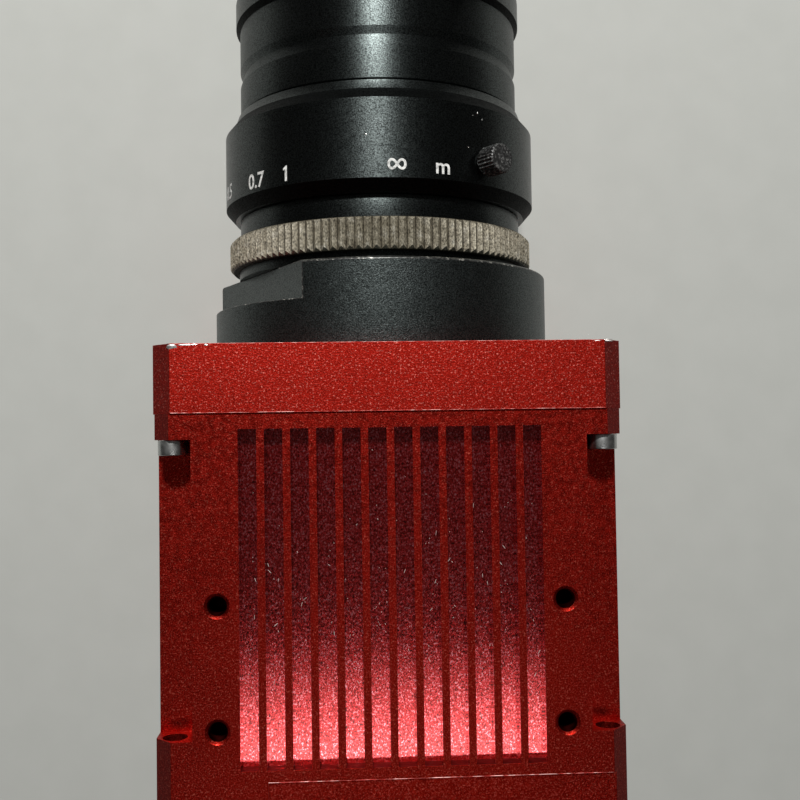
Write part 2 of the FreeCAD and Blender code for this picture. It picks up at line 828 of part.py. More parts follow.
def glasses():
    save("front_glass", glass(front_glass, front_cell_y + front_glass_seat))
    save("second_glass", glass(second_glass, front_cell_y + second_glass_seat))
    save("third_glass", glass(third_glass, front_cell_y + third_glass_seat))
    save("fourth_glass", glass(fourth_glass, barrel_y - fourth_glass_seat))
    save("rear_glass", glass(rear_glass, barrel_y - rear_glass_seat - rear_glass[1]))


def surface_height(semi, radius, at_radius):
    """How far a bulging surface has risen above its edge at a radius."""
    return math.sqrt(radius ** 2 - at_radius ** 2) - math.sqrt(radius ** 2 - semi ** 2)


def retainers():
    inner = front_glass[0] - retainer_width
    rise = surface_height(front_glass[0], front_glass[3], inner)
    y = front_cell_y + front_glass_seat + front_glass[1] + rise + seat_gap
    save("front_retainer", tube(front_glass[0], inner, y, y + retainer_length))
    inner = rear_glass[0] - retainer_width
    rise = surface_height(rear_glass[0], rear_glass[2], inner)
    y = barrel_y - rear_glass_seat - rear_glass[1] - rise - seat_gap
    save("rear_retainer", tube(rear_glass[0], inner, y - retainer_length, y))


# ---- iris ------------------------------------------------------------------------------------------
def iris_ring():
    bore = nose_radius + fit_gap
    y1 = iris_ring_y + iris_ring_length
    ring = turned([
        (bore, iris_ring_y),
        (iris_ring_radius - iris_ring_chamfer, iris_ring_y),
        (iris_ring_radius, iris_ring_y + iris_ring_chamfer),
        (iris_ring_radius, y1 - iris_ring_chamfer),
        (iris_ring_radius - iris_ring_chamfer, y1),
        (bore, y1),
    ])
    return ring.cut(lock_hole(iris_lock_y, bore - 1, iris_ring_radius))


def iris_plate():
    y1 = iris_plate_y + iris_plate_thickness
    plate = tube(barrel_front_bore - seat_gap, iris_open_radius, iris_plate_y, y1)
    for i in range(blade_count):
        hole = rod(blade_pin_radius + fit_gap, iris_plate_y, y1, 0, blade_pivot_radius)
        plate = plate.cut(about_axis(hole, 360 / blade_count * i))
    return plate


def iris_blade(number):
    """A crescent that reaches round from its pivot, in a layer of its own."""
    y0 = blade_y + number * (blade_thickness + blade_layer_gap)
    y1 = y0 + blade_thickness
    ring = Part.makeCylinder(blade_outer_radius, blade_thickness, V(0, y0, 0), V(0, 1, 0), blade_span)
    ring = ring.cut(rod(blade_inner_radius, y0, y1))
    start = ring.Solids[0].CenterOfMass
    angle = math.degrees(math.atan2(start.x, start.z))
    crescent = about_axis(ring, blade_span / 2 - angle)
    ear_side = blade_outer_radius - blade_ear_radius
    arm = box(-blade_ear_radius, blade_ear_radius, y0, y1, ear_side, blade_pivot_radius)
    ear = rod(blade_ear_radius, y0, y1, 0, blade_pivot_radius)
    pin = rod(blade_pin_radius, iris_plate_y + 0.2, y1, 0, blade_pivot_radius)
    return about_axis(crescent.fuse(arm).fuse(ear).fuse(pin), 360 / blade_count * number)


# ---- all pieces ------------------------------------------------------------------------------------
save("front_plate", front_plate())
save("main_housing", main_housing())
save("rear_cover", rear_cover())
save("front_seal", seal_at(seam_y - seal_depth))
save("rear_seal", seal_at(housing_rear_y))
screws()

save("sensor_package", sensor_package())
save("sensor_die", sensor_die())
save("sensor_glass", sensor_glass())
save("sensor_board", board(sensor_board_y))
save("processor_board", board(processor_board_y))
save("interface_board", board(interface_board_y))
save("processor", processor())
spacers()

save("network_socket", network_socket())
save("network_contacts", network_contacts())
save("io_socket", io_socket())
save("io_pins", io_pins())
save("status_led", status_led())

save("adapter_ring", adapter_ring())
save("lens_mount", lens_mount())
save("knurled_ring", knurled_ring())
save("guide_tube", guide_tube())
save("focus_ring", focus_ring())
save("focus_lock_screw", lock_screw(lock_y, focus_radius, guide_radius + lock_tip_gap))

save("barrel", barrel())
save("front_ring", front_ring())
save("front_cell", front_cell())
save("rear_cell", rear_cell())
glasses()
retainers()

save("iris_ring", iris_ring())
save("iris_lock_screw", lock_screw(iris_lock_y, iris_ring_radius, nose_radius + lock_tip_gap))
save("iris_plate", iris_plate())
for blade_number in range(blade_count):
    save("iris_blade_%d" % (blade_number + 1), iris_blade(blade_number))
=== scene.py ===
"""Looks for the machine vision camera: red body with cooling grooves, black adapter ring and lens."""

import json
import math
import random

import bmesh
import bpy
from mathutils import Euler, Matrix, Vector


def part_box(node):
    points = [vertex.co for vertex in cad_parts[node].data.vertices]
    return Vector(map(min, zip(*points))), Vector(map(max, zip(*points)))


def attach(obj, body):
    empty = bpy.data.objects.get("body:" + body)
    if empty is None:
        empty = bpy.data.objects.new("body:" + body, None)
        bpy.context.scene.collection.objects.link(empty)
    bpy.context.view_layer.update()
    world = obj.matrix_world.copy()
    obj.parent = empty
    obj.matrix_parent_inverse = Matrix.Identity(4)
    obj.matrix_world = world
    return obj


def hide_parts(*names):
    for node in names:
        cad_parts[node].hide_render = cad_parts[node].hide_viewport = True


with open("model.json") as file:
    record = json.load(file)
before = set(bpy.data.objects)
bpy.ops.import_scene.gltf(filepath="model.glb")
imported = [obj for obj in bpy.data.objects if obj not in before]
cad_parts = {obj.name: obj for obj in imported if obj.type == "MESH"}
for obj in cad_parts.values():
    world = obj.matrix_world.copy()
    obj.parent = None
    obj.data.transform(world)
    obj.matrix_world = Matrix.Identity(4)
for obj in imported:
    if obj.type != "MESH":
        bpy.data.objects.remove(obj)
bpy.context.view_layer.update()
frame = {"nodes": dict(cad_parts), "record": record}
nodes = frame["nodes"]
MM = 0.001
chance = random.Random(5)    # every uneven edge, chip and scratch draws from this

# ---- places taken from the frame -------------------------------------------------------------------
plate_low, plate_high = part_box("front_plate")
housing_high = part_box("main_housing")[1]
axis_z = (plate_low.z + plate_high.z) / 2
face_y = plate_high.y
plate_half = plate_high.x / MM
housing_half = housing_high.x / MM


def spot(x, y, z):
    """A point in metres, from millimetres right of, in front of and above the lens axis at the plate's face."""
    return Vector((x * MM, face_y + y * MM, axis_z + z * MM))


def on_cylinder(radius, degrees, y):
    """A point round the lens axis, the angle counted from straight up towards +X."""
    angle = math.radians(degrees)
    return spot(radius * math.sin(angle), y, radius * math.cos(angle))


# ---- lens sizes in millimetres, y from the front plate's face ----------------------------------------
adapter_front = (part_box("adapter_ring")[1].y - face_y) / MM
focus_radius = 23.62
focus_rear = (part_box("focus_ring")[0].y - face_y) / MM
focus_chamfer = focus_rear + 12.46
focus_front = (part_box("focus_ring")[1].y - face_y) / MM
barrel_radius = 21.3
barrel_front = (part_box("iris_ring")[0].y - face_y) / MM - 0.1
barrel_rear = (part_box("iris_plate")[0].y - face_y) / MM
nose_front = barrel_front + 7.3
groove_rear = barrel_rear + 4.6
groove_floor = groove_rear + 1.63
groove_front = groove_floor + 1.0
mount_rear = (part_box("lens_mount")[0].y - face_y) / MM
knurl_rear = (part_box("knurled_ring")[0].y - face_y) / MM
knurl_front = (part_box("knurled_ring")[1].y - face_y) / MM
neck_front = focus_rear - 0.1
guide_front = (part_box("guide_tube")[1].y - face_y) / MM
barrel_tube_rear = (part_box("barrel")[0].y - face_y) / MM

mount_bore_radius = 11.0
spigot_radius = 12.7
mount_seat_radius = 19.5
flange_radius = 21.7
knurl_root_radius = 22.58
knurl_tip_radius = 23.1
guide_bore_radius = 16.8
guide_radius = 18.6
neck_radius = 21.47
barrel_bore_radius = 14.5
barrel_tube_radius = 16.75
barrel_step_radius = 18.25
barrel_step_length = 2.7
barrel_groove_depth = 0.55
nose_bore_radius = 16.0
nose_radius = 19.0
adapter_turn = 2.7           # degrees that the adapter's flat sits askew


# ---- material building blocks ------------------------------------------------------------------------
def shader(name, color, roughness, metallic=0.0, **extra):
    """A material with one Principled shader, its sockets set by name."""
    material = bpy.data.materials.new(name)
    material.use_nodes = True
    sockets = material.node_tree.nodes["Principled BSDF"].inputs
    sockets["Base Color"].default_value = (*color, 1.0)
    sockets["Roughness"].default_value = roughness
    sockets["Metallic"].default_value = metallic
    for socket, value in extra.items():
        sockets[socket.replace("_", " ").title().replace("Ior", "IOR")].default_value = value
    return material


def add(material, kind, **values):
    """A new shader node, its sockets and settings given by name."""
    node = material.node_tree.nodes.new("ShaderNode" + kind)
    for key, value in values.items():
        if key in node.inputs:
            node.inputs[key].default_value = value
        else:
            setattr(node, key, value)
    return node


def link(material, source, target):
    """Joins an output to an input."""
    material.node_tree.links.new(source, target)


def bsdf(material):
    """The material's Principled shader."""
    return material.node_tree.nodes["Principled BSDF"]


def noise(material, scale, detail=2.0, span=(0.35, 0.65), to=(0.0, 1.0), stretch=(1, 1, 1)):
    """Noise over the surface in metres, with the middle of its span spread over the range to."""
    coords = add(material, "TexCoord")
    mapping = add(material, "Mapping", Scale=stretch)
    texture = add(material, "TexNoise", Scale=scale, Detail=detail)
    spread = add(material, "MapRange")
    for name, value in zip(("From Min", "From Max", "To Min", "To Max"), (*span, *to)):
        spread.inputs[name].default_value = value
    link(material, coords.outputs["Object"], mapping.inputs["Vector"])
    link(material, mapping.outputs["Vector"], texture.inputs["Vector"])
    link(material, texture.outputs["Fac"], spread.inputs["Value"])
    return spread.outputs["Result"]


def ramp(material, factor, stops):
    """Colours along a factor, each stop as (place, red, green, blue)."""
    node = add(material, "ValToRGB")
    elements = node.color_ramp.elements
    while len(elements) < len(stops):
        elements.new(0.5)
    for element, (place, *color) in zip(elements, stops):
        element.position = place
        element.color = (*color, 1.0)
    link(material, factor, node.inputs["Fac"])
    return node.outputs["Color"]


def blend(material, factor, first, second, mode="MIX"):
    """Mix of two colours; each is a socket or a plain colour."""
    node = add(material, "Mix", data_type="RGBA", blend_type=mode)
    for value, socket in ((factor, node.inputs[0]), (first, node.inputs[6]), (second, node.inputs[7])):
        if isinstance(value, (int, float)):
            socket.default_value = value
        elif isinstance(value, tuple):
            socket.default_value = (*value, 1.0)
        else:
            link(material, value, socket)
    return node.outputs[2]


def bump(material, height, millimetres, strength=1.0):
    """Small relief from a height output."""
    node = add(material, "Bump", Distance=millimetres * MM, Strength=strength)
    link(material, height, node.inputs["Height"])
    link(material, node.outputs["Normal"], bsdf(material).inputs["Normal"])


def use(material, socket, output):
    """Feeds an output into one of the Principled shader's sockets."""
    link(material, output, bsdf(material).inputs[socket])


# ---- materials -----------------------------------------------------------------------------------------
def red_blasted(name, shade, roughness, glint_color):
    """Bead-blasted, red anodised aluminium with a dense grain; its bright specks in the base colour are painted glints.
    """
    material = shader(name, (0.42, 0.02, 0.02), roughness, 1.0)
    grain = noise(material, 5200, 3, (0.28, 0.74))
    color = ramp(material, grain, [
        (0.0, 0.22, 0.006, 0.003), (0.45, 0.40, 0.014, 0.008), (0.7, 0.54, 0.028, 0.018), (1.0, 0.78, 0.12, 0.09)])
    cloud = noise(material, 90, 2, (0.3, 0.7))
    light = blend(material, 1.0, color, (shade, shade, shade), "MULTIPLY")
    dark = blend(material, 1.0, color, (shade * 0.88, shade * 0.86, shade * 0.86), "MULTIPLY")
    # painted glints: pale specks laid into the base colour, their colour set per copy
    glint_spots = noise(material, 3900, 2, (0.60, 0.70))
    use(material, "Base Color", blend(material, glint_spots, blend(material, cloud, light, dark), glint_color))
    use(material, "Roughness", noise(material, 1500, 2, to=(roughness - 0.05, roughness + 0.07)))
    bump(material, grain, 0.028, 0.55)
    return material


def red_milled():
    """Smoother milled and anodised groove floors, which mirror the lights and carry lint and grit."""
    material = shader("red_milled", (0.42, 0.02, 0.02), 0.13, 0.955, coat_weight=1.0, coat_roughness=0.10)
    spread_along_axis(material, 0.3)
    grain = noise(material, 5600, 3, (0.34, 0.66), stretch=(1.0, 0.7, 1.0))
    color = ramp(material, grain, [
        (0.0, 0.12, 0.002, 0.002), (0.35, 0.58, 0.014, 0.010), (0.75, 0.86, 0.05, 0.06), (1.0, 1.0, 0.34, 0.38)])
    use(material, "Base Color", color)
    use(material, "Roughness", noise(material, 2600, 2, to=(0.10, 0.17)))
    bump(material, grain, 0.009, 0.10)
    return material


def spread_along_axis(material, amount):
    """Tool marks that spread highlights along the lens axis more than round it."""
    round_axis = add(material, "Tangent", direction_type="RADIAL", axis="Y")
    use(material, "Tangent", round_axis.outputs["Tangent"])
    bsdf(material).inputs["Anisotropic"].default_value = amount
    bsdf(material).inputs["Anisotropic Rotation"].default_value = 0.25


def black_anodised(name, base, roughness, specks, depth, turned_marks=0.0, specular=0.6):
    """Matte black anodised aluminium with a fine grain that glints; turned faces spread light along the axis."""
    material = shader(name, (base, base, base * 1.05), roughness)
    bsdf(material).inputs["Specular Tint"].default_value = (0.85, 1.0, 0.99, 1.0)
    if turned_marks:
        spread_along_axis(material, turned_marks)
    use(material, "Specular IOR Level", noise(material, 5400, 2, (0.34, 0.68), (specular * 0.3, specular * 1.75)))
    grain = noise(material, 7500, 2, (0.25, 0.75))
    dark = (base * 0.7, base * 0.72, base * 0.75)
    light = (base + specks, base + specks * 1.05, base + specks * 1.08)
    color = ramp(material, grain, [(0.0, *dark), (0.6, base, base, base * 1.05), (1.0, *light)])
    use(material, "Base Color", color)
    use(material, "Roughness", noise(material, 900, 2, to=(roughness - 0.015, roughness + 0.02)))
    bump(material, grain, depth, 0.6)
    return material


def dull_nickel(tip, root):
    """Old nickel plating, warm grey, stained; darker towards the tooth roots, partly dirt and partly painted shade, and
    lighter at the tips, a painted highlight.
    """
    material = shader("dull_nickel", (0.36, 0.33, 0.26), 0.5, 0.4)
    stain = noise(material, 800, 4, (0.34, 0.68))
    color = ramp(material, stain, [
        (0.0, 0.19, 0.17, 0.13), (0.35, 0.28, 0.255, 0.20), (0.75, 0.32, 0.295, 0.24), (1.0, 0.40, 0.38, 0.33)])
    fine = noise(material, 5200, 3, (0.32, 0.68), stretch=(1.0, 0.6, 1.0))
    grit = ramp(material, fine, [(0, 0.30, 0.29, 0.27), (1, 1.5, 1.5, 1.47)])
    color = blend(material, 1.0, color, grit, "MULTIPLY")
    coords = add(material, "TexCoord")
    flat = add(material, "Mapping", Location=(0.0, 0.0, -axis_z), Scale=(1.0, 0.0, 1.0))
    distance = add(material, "VectorMath", operation="LENGTH")
    height = add(material, "MapRange")
    height.inputs["From Min"].default_value = root * MM
    height.inputs["From Max"].default_value = tip * MM
    link(material, coords.outputs["Object"], flat.inputs["Vector"])
    link(material, flat.outputs["Vector"], distance.inputs[0])
    link(material, distance.outputs["Value"], height.inputs["Value"])
    # darkened towards the roots (dirt and painted shade) and lightened past the base colour at the tips (painted
    # highlight)
    dirt_shade_and_tip_shine = ramp(material, height.outputs["Result"], [
        (0.0, 0.10, 0.09, 0.07), (0.22, 0.75, 0.73, 0.70), (0.8, 0.95, 0.95, 0.95), (1.0, 1.5, 1.5, 1.5)])
    use(material, "Base Color", blend(material, 1.0, color, dirt_shade_and_tip_shine, "MULTIPLY"))
    use(material, "Roughness", noise(material, 1200, 2, to=(0.46, 0.62)))
    bump(material, fine, 0.03, 0.5)
    return material


def worn_black_steel():
    """Black lock screws, rubbed through to bright steel in streaks."""
    material = shader("worn_black_steel", (0.02, 0.02, 0.02), 0.45, 0.3)
    wear = noise(material, 2600, 3, (0.46, 0.72))
    use(material, "Base Color", ramp(material, wear, [
        (0.0, 0.02, 0.02, 0.02), (0.5, 0.10, 0.10, 0.10), (1.0, 0.50, 0.49, 0.48)]))
    use(material, "Metallic", noise(material, 2600, 3, (0.46, 0.72), (0.3, 0.9)))
    bump(material, wear, 0.05, 0.6)
    return material


def plain_metal(name, color, roughness, grain_scale=1400):
    """Metal with a fine grain in its colour, gloss and relief."""
    material = shader(name, color, roughness, 1.0)
    grain = noise(material, grain_scale, 3, (0.3, 0.7))
    use(material, "Base Color", blend(material, grain, tuple(c * 0.8 for c in color), color))
    use(material, "Roughness", noise(material, grain_scale / 2, 2, to=(roughness - 0.06, roughness + 0.1)))
    bump(material, grain, 0.01, 0.3)
    return material


def plain_plastic(name, color, roughness, **extra):
    """Plastic, ceramic, board or lint with a fine grain."""
    material = shader(name, color, roughness, 0.0, **extra)
    grain = noise(material, 1200, 2, (0.3, 0.7))
    use(material, "Base Color", blend(material, grain, tuple(c * 0.85 for c in color), color))
    bump(material, grain, 0.01, 0.25)
    return material


def coated_glass():
    """Lens glass with a green and violet anti-reflection coating."""
    material = shader("coated_glass", (0.90, 0.95, 0.93), 0.02, 0.0, transmission_weight=1.0, coat_weight=1.0)
    bsdf(material).inputs["IOR"].default_value = 1.6
    bsdf(material).inputs["Coat Tint"].default_value = (0.45, 0.75, 0.65, 1.0)
    return material


def white_paint():
    """Paint of the figures, thin and greyish in spots."""
    material = shader("white_paint", (0.72, 0.72, 0.70), 0.6)
    grain = noise(material, 2600, 3, (0.32, 0.6))
    use(material, "Base Color", ramp(material, grain, [(0.0, 0.34, 0.34, 0.33), (1.0, 0.80, 0.80, 0.78)]))
    return material


def worn_edge():
    """Edges where the red is rubbed through to pale metal in short stretches."""
    material = shader("worn_edge", (0.8, 0.5, 0.5), 0.5, 1.0)
    wear = noise(material, 900, 4, (0.40, 0.58))
    use(material, "Base Color", ramp(material, wear, [
        (0.0, 0.36, 0.03, 0.025), (0.55, 0.52, 0.13, 0.115), (1.0, 0.72, 0.38, 0.35)]))
    use(material, "Metallic", noise(material, 1700, 2, to=(0.5, 1.0)))
    bump(material, wear, 0.05, 0.6)
    return material


def worn_black():
    """Edges of black pieces, rubbed to grey."""
    material = shader("worn_black", (0.05, 0.05, 0.05), 0.35, 0.4)
    wear = noise(material, 1700, 4, (0.42, 0.66))
    use(material, "Base Color", ramp(material, wear, [
        (0.0, 0.02, 0.02, 0.02), (0.7, 0.08, 0.08, 0.075), (1.0, 0.36, 0.35, 0.32)]))
    bump(material, wear, 0.03, 0.5)
    return material


# The plate's copy is lighter and has stronger pale specks than the housing's: painted sheen and glints of the key lamp.
PLATE_RED = red_blasted("plate_red", 0.93, 0.50, (0.80, 0.22, 0.18))
RED = red_blasted("housing_red", 0.79, 0.41, (0.58, 0.09, 0.06))
# A near-black red for the insides of the tapped holes and their threads: painted shade.
HOLE_SHADE_RED = plain_metal("hole_red_painted_shade", (0.05, 0.004, 0.003), 0.4)
# A darker red for the rear end walls of the grooves, which face the key lamp: painted shade.
END_WALL_SHADE_RED = plain_metal("wall_red_painted_shade", (0.11, 0.006, 0.004), 0.5)
WORN_BLACK = worn_black()
MILLED = red_milled()
WORN_EDGE = worn_edge()
ADAPTER_BLACK = black_anodised("adapter_black", 0.001, 0.345, 0.004, 0.03, specular=1.1)
LENS_BLACK = black_anodised("lens_black", 0.0006, 0.325, 0.003, 0.012, 0.65, specular=0.60)
BARREL_BLACK = black_anodised("barrel_black", 0.0006, 0.40, 0.002, 0.012, 0.9, specular=0.8)
FRONT_BLACK = black_anodised("front_black", 0.0006, 0.33, 0.003, 0.012, 0.8, specular=0.45)
# Nearly glossless black for chamfers and front-facing slopes: painted shade.
SHADED_CHAMFER_BLACK = black_anodised("chamfer_black_painted_shade", 0.0005, 0.5, 0.001, 0.01, specular=0.07)
NICKEL = dull_nickel(knurl_tip_radius, knurl_root_radius)
WORN_STEEL = worn_black_steel()
SCREW_STEEL = plain_metal("screw_steel", (0.72, 0.73, 0.72), 0.27)
BARE_METAL = plain_metal("bare_metal", (0.86, 0.85, 0.83), 0.3, 3000)
SOCKET_METAL = plain_metal("socket_metal", (0.60, 0.60, 0.59), 0.3)
GOLD = plain_metal("gold", (0.83, 0.58, 0.22), 0.3)
WHITE = white_paint()
GLASS = coated_glass()
BLADE = plain_metal("blade_steel", (0.05, 0.05, 0.055), 0.4)
BOARD = plain_plastic("board_green", (0.02, 0.16, 0.07), 0.4)
CERAMIC = plain_plastic("ceramic", (0.06, 0.06, 0.07), 0.4)
SILICON = plain_metal("silicon", (0.10, 0.13, 0.20), 0.12)
RUBBER = plain_plastic("rubber", (0.015, 0.015, 0.015), 0.7)
LED = plain_plastic("led_green", (0.10, 0.55, 0.18), 0.25, transmission_weight=0.4)
LINT = plain_plastic("lint", (0.62, 0.57, 0.53), 0.6)
SLOT_MATERIALS = {
    "red_anodised": RED, "black_anodised": LENS_BLACK, "dull_nickel": NICKEL, "screw_steel": SCREW_STEEL,
    "black_steel": WORN_STEEL, "blade_steel": BLADE, "lens_glass": GLASS, "circuit_board": BOARD,
    "chip_ceramic": CERAMIC, "sensor_silicon": SILICON, "seal_rubber": RUBBER, "socket_shell": SOCKET_METAL,
    "socket_nickel": SOCKET_METAL, "contact_gold": GOLD, "led_plastic": LED,
}


def finish_cad_nodes():
    """Every CAD node starts with the material of its slot."""
    for subpart in frame["record"]["subparts"]:
        mesh = nodes[subpart["node"]].data
        mesh.materials.clear()
        mesh.materials.append(SLOT_MATERIALS[subpart["material_slot"]])


# ---- mesh building blocks ------------------------------------------------------------------------------
def dress(mesh, name, materials, body, smooth_angle):
    """Makes a mesh a piece that rides on a body, smooth except over sharp edges."""
    for material in materials:
        mesh.materials.append(material)
    mesh.shade_smooth()
    mesh.set_sharp_from_angle(angle=math.radians(smooth_angle))
    piece = bpy.data.objects.new(name, mesh)
    bpy.context.scene.collection.objects.link(piece)
    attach(piece, body)
    return piece


def piece_from(name, vertices, faces, material, body, smooth_angle=30):
    """A piece from vertices in metres and faces, with every face turned outwards."""
    mesh = bpy.data.meshes.new(name)
    mesh.from_pydata([tuple(v) for v in vertices], [], faces)
    mesh.validate()
    form = bmesh.new()
    form.from_mesh(mesh)
    bmesh.ops.recalc_face_normals(form, faces=form.faces)
    form.to_mesh(mesh)
    form.free()
    return dress(mesh, name, [material], body, smooth_angle)


def rounded(profile, radius, steps=3):
    """A closed outline of (radius, y) points with each corner turned into a small arc."""
    result = []
    count = len(profile)
    for i, corner in enumerate(profile):
        here = Vector(corner)
        before = Vector(profile[i - 1]) - here
        after = Vector(profile[(i + 1) % count]) - here
        angle = before.angle(after)
        reach = min(radius / math.tan(angle / 2), before.length * 0.45, after.length * 0.45)
        start = here + before.normalized() * reach
        end = here + after.normalized() * reach
        for step in range(steps + 1):
            t = step / steps
            result.append(start * (1 - t) ** 2 + here * 2 * t * (1 - t) + end * t ** 2)
    return result


def turned(name, profile, material, body, rounding=0.12, segments=180):
    """A ring turned about the lens axis from a closed (radius, y) outline."""
    outline = rounded(profile, rounding)
    rows = len(outline)
    vertices = []
    for i in range(segments):
        vertices += [on_cylinder(point[0], 360 * i / segments, point[1]) for point in outline]
    faces = []
    for i in range(segments):
        a = i * rows
        b = (i + 1) % segments * rows
        for k in range(rows):
            n = (k + 1) % rows
            faces.append((a + k, a + n, b + n, b + k))
    return piece_from(name, vertices, faces, material, body)


def dressed(node, materials, body, bevel, turn=0.0):
    """A copy of a CAD node with rounded edges, which replaces the node; the roundings get the second material."""
    form = bmesh.new()
    form.from_mesh(nodes[node].data)
    for face in form.faces:
        face.material_index = 0
    bmesh.ops.remove_doubles(form, verts=form.verts, dist=1e-6)
    bmesh.ops.dissolve_limit(form, angle_limit=math.radians(0.5), verts=form.verts, edges=form.edges)
    sharp = [e for e in form.edges if len(e.link_faces) == 2 and e.calc_face_angle(0.0) > math.radians(30)]
    bmesh.ops.bevel(
        form, geom=sharp, offset=bevel * MM, offset_type="OFFSET", segments=3, profile=0.5, affect="EDGES",
        clamp_overlap=True, material=1 if len(materials) > 1 else 0)
    axis = Vector((0.0, 0.0, axis_z))
    bmesh.ops.rotate(form, verts=form.verts, cent=axis, matrix=Matrix.Rotation(math.radians(turn), 3, "Y"))
    mesh = bpy.data.meshes.new(node + "_dressed")
    form.to_mesh(mesh)
    form.free()
    piece = dress(mesh, node + "_dressed", materials, body, 40)
    piece.modifiers.new("flat faces", "WEIGHTED_NORMAL").keep_sharp = True
    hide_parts(node)
    return piece


def paint(piece, index, chosen):
    """Gives faces another of the piece's materials, where chosen(place in mm, normal, present index) holds."""
    for polygon in piece.data.polygons:
        place = (polygon.center - Vector((0.0, face_y, axis_z))) / MM
        if chosen(place, polygon.normal, polygon.material_index):
            polygon.material_index = index


# ---- body ----------------------------------------------------------------------------------------------
groove_count = 12
groove_pitch = 3.27
groove_depth = 2.0
groove_reach = 19.6          # from the lens axis to the far wall of the outermost groove
cooling_rear = -53.2
tap_x = 21.9
tap_rows = (-32.8, -48.3)
tap_radius = 1.25
thread_depth = 3.6
thread_pitch = 0.45
recess_y = -54.7
recess_left = -15.7
seam_y = (plate_low.y - face_y) / MM


def in_groove(place, normal, index):
    """On the floor or the walls of a cooling groove, short of its rim."""
    height = max(abs(place.x), abs(place.z))
    side = min(abs(place.x), abs(place.z))
    groove = side < groove_reach and housing_half - groove_depth - 0.1 < height < housing_half - 0.15
    return groove and place.y > cooling_rear - 0.1


def at_groove_end(place, normal, index):
    """On the wall that ends a cooling groove at the rear."""
    height = max(abs(place.x), abs(place.z))
    inside = housing_half - groove_depth - 0.1 < height < housing_half - 0.02
    return inside and abs(place.y - cooling_rear) < 0.15 and normal.y > 0.4


def in_tapped_hole(place, normal, index):
    """Inside one of the tapped holes on top or underneath."""
    near = min(math.hypot(abs(place.x) - tap_x, place.y - y) for y in tap_rows)
    return near < 1.4 and abs(place.z) < housing_half - 0.3


def body_shells():
    """Plate, housing and rear cover; the roundings of their outer edges are worn."""
    plate = dressed("front_plate", [PLATE_RED, PLATE_RED, WORN_EDGE], "camera", 0.14)
    paint(plate, 2, lambda place, normal, index: index == 1 and place.y > -0.3)
    housing = dressed("main_housing", [RED, RED, MILLED, HOLE_SHADE_RED, END_WALL_SHADE_RED], "camera", 0.1)
    paint(housing, 2, in_groove)
    # the insides of the tapped holes get the near-black red: painted shade
    paint(housing, 3, in_tapped_hole)
    # the groove end walls get the darker red: painted shade
    paint(housing, 4, at_groove_end)
    dressed("rear_cover", [RED], "camera", 0.14)
    edge = plate_half - 2.6
    for i in range(4):
        burr("seam_burr_%d" % (i + 1), (-edge, edge), seam_y + 0.09, plate_half, i)
    burr("recess_burr", (recess_left, housing_half - 2.2), recess_y + 0.04, housing_half, 0)
    for i in range(4):
        dressed("corner_screw_%d" % (i + 1), [SCREW_STEEL], "camera", 0.3)


def burr(name, reach, y, height, quarter):
    """A fine uneven ridge of rubbed metal along an edge, on one of the four sides."""
    sections = 150
    thinnest, thickest, change = 0.012, 0.05, 0.018
    arc = [(0.0, -0.02), (0.25, 0.6), (0.5, 0.85), (0.75, 0.6), (1.0, -0.02)]
    turn = Matrix.Rotation(math.radians(90 * quarter), 3, "Y")
    size = thickest
    vertices = []
    for i in range(sections + 1):
        x = reach[0] + (reach[1] - reach[0]) * i / sections
        size = min(thickest, max(thinnest, size + chance.uniform(-change, change)))
        for across, rise in arc:
            ridge = Vector((x, y + (0.5 - across) * 2 * size, height + rise * size))
            vertices.append(spot(0, 0, 0) + turn @ ridge * MM)
    rows = len(arc)
    faces = [tuple(range(rows)), tuple(sections * rows + k for k in range(rows - 1, -1, -1))]
    for i in range(sections):
        for k in range(rows):
            n = (k + 1) % rows
            faces.append((i * rows + k, i * rows + n, (i + 1) * rows + n, (i + 1) * rows + k))
    return piece_from(name, vertices, faces, WORN_EDGE, "camera", 60)


# ---- lens ----------------------------------------------------------------------------------------------
def lens_tubes():
    """Mount, neck and sliding barrel, each turned from its outline."""
    piece = turned("lens_mount_ring", [
        (mount_bore_radius, mount_rear), (spigot_radius, mount_rear), (spigot_radius, adapter_front),
        (flange_radius, adapter_front), (flange_radius, knurl_rear), (mount_seat_radius, knurl_rear),
        (mount_seat_radius, knurl_front), (mount_bore_radius, knurl_front)], LENS_BLACK, "camera")
    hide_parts("lens_mount")
    piece = turned("neck_tube", [
        (guide_bore_radius, knurl_front), (neck_radius, knurl_front), (neck_radius, neck_front),
        (guide_radius, neck_front), (guide_radius, guide_front), (guide_bore_radius, guide_front)],
        LENS_BLACK, "camera")
    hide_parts("guide_tube")
    step_rear = barrel_rear - barrel_step_length
    piece = turned("barrel_tube", [
        (barrel_bore_radius, barrel_tube_rear), (barrel_tube_radius, barrel_tube_rear),
        (barrel_tube_radius, step_rear), (barrel_step_radius, step_rear), (barrel_step_radius, barrel_rear),
        (barrel_radius, barrel_rear), (barrel_radius, groove_rear),
        (barrel_radius - barrel_groove_depth, groove_floor), (barrel_radius, groove_front),
        (barrel_radius, barrel_front), (nose_radius, barrel_front), (nose_radius, nose_front),
        (nose_bore_radius, nose_front), (nose_bore_radius, barrel_rear), (barrel_bore_radius, barrel_rear)],
        BARREL_BLACK, "barrel")
    piece.data.materials.append(SHADED_CHAMFER_BLACK)
    # slopes facing the front get the nearly glossless black: painted shade
    paint(piece, 1, lambda place, normal, index: normal.y > 0.35)
    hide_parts("barrel")


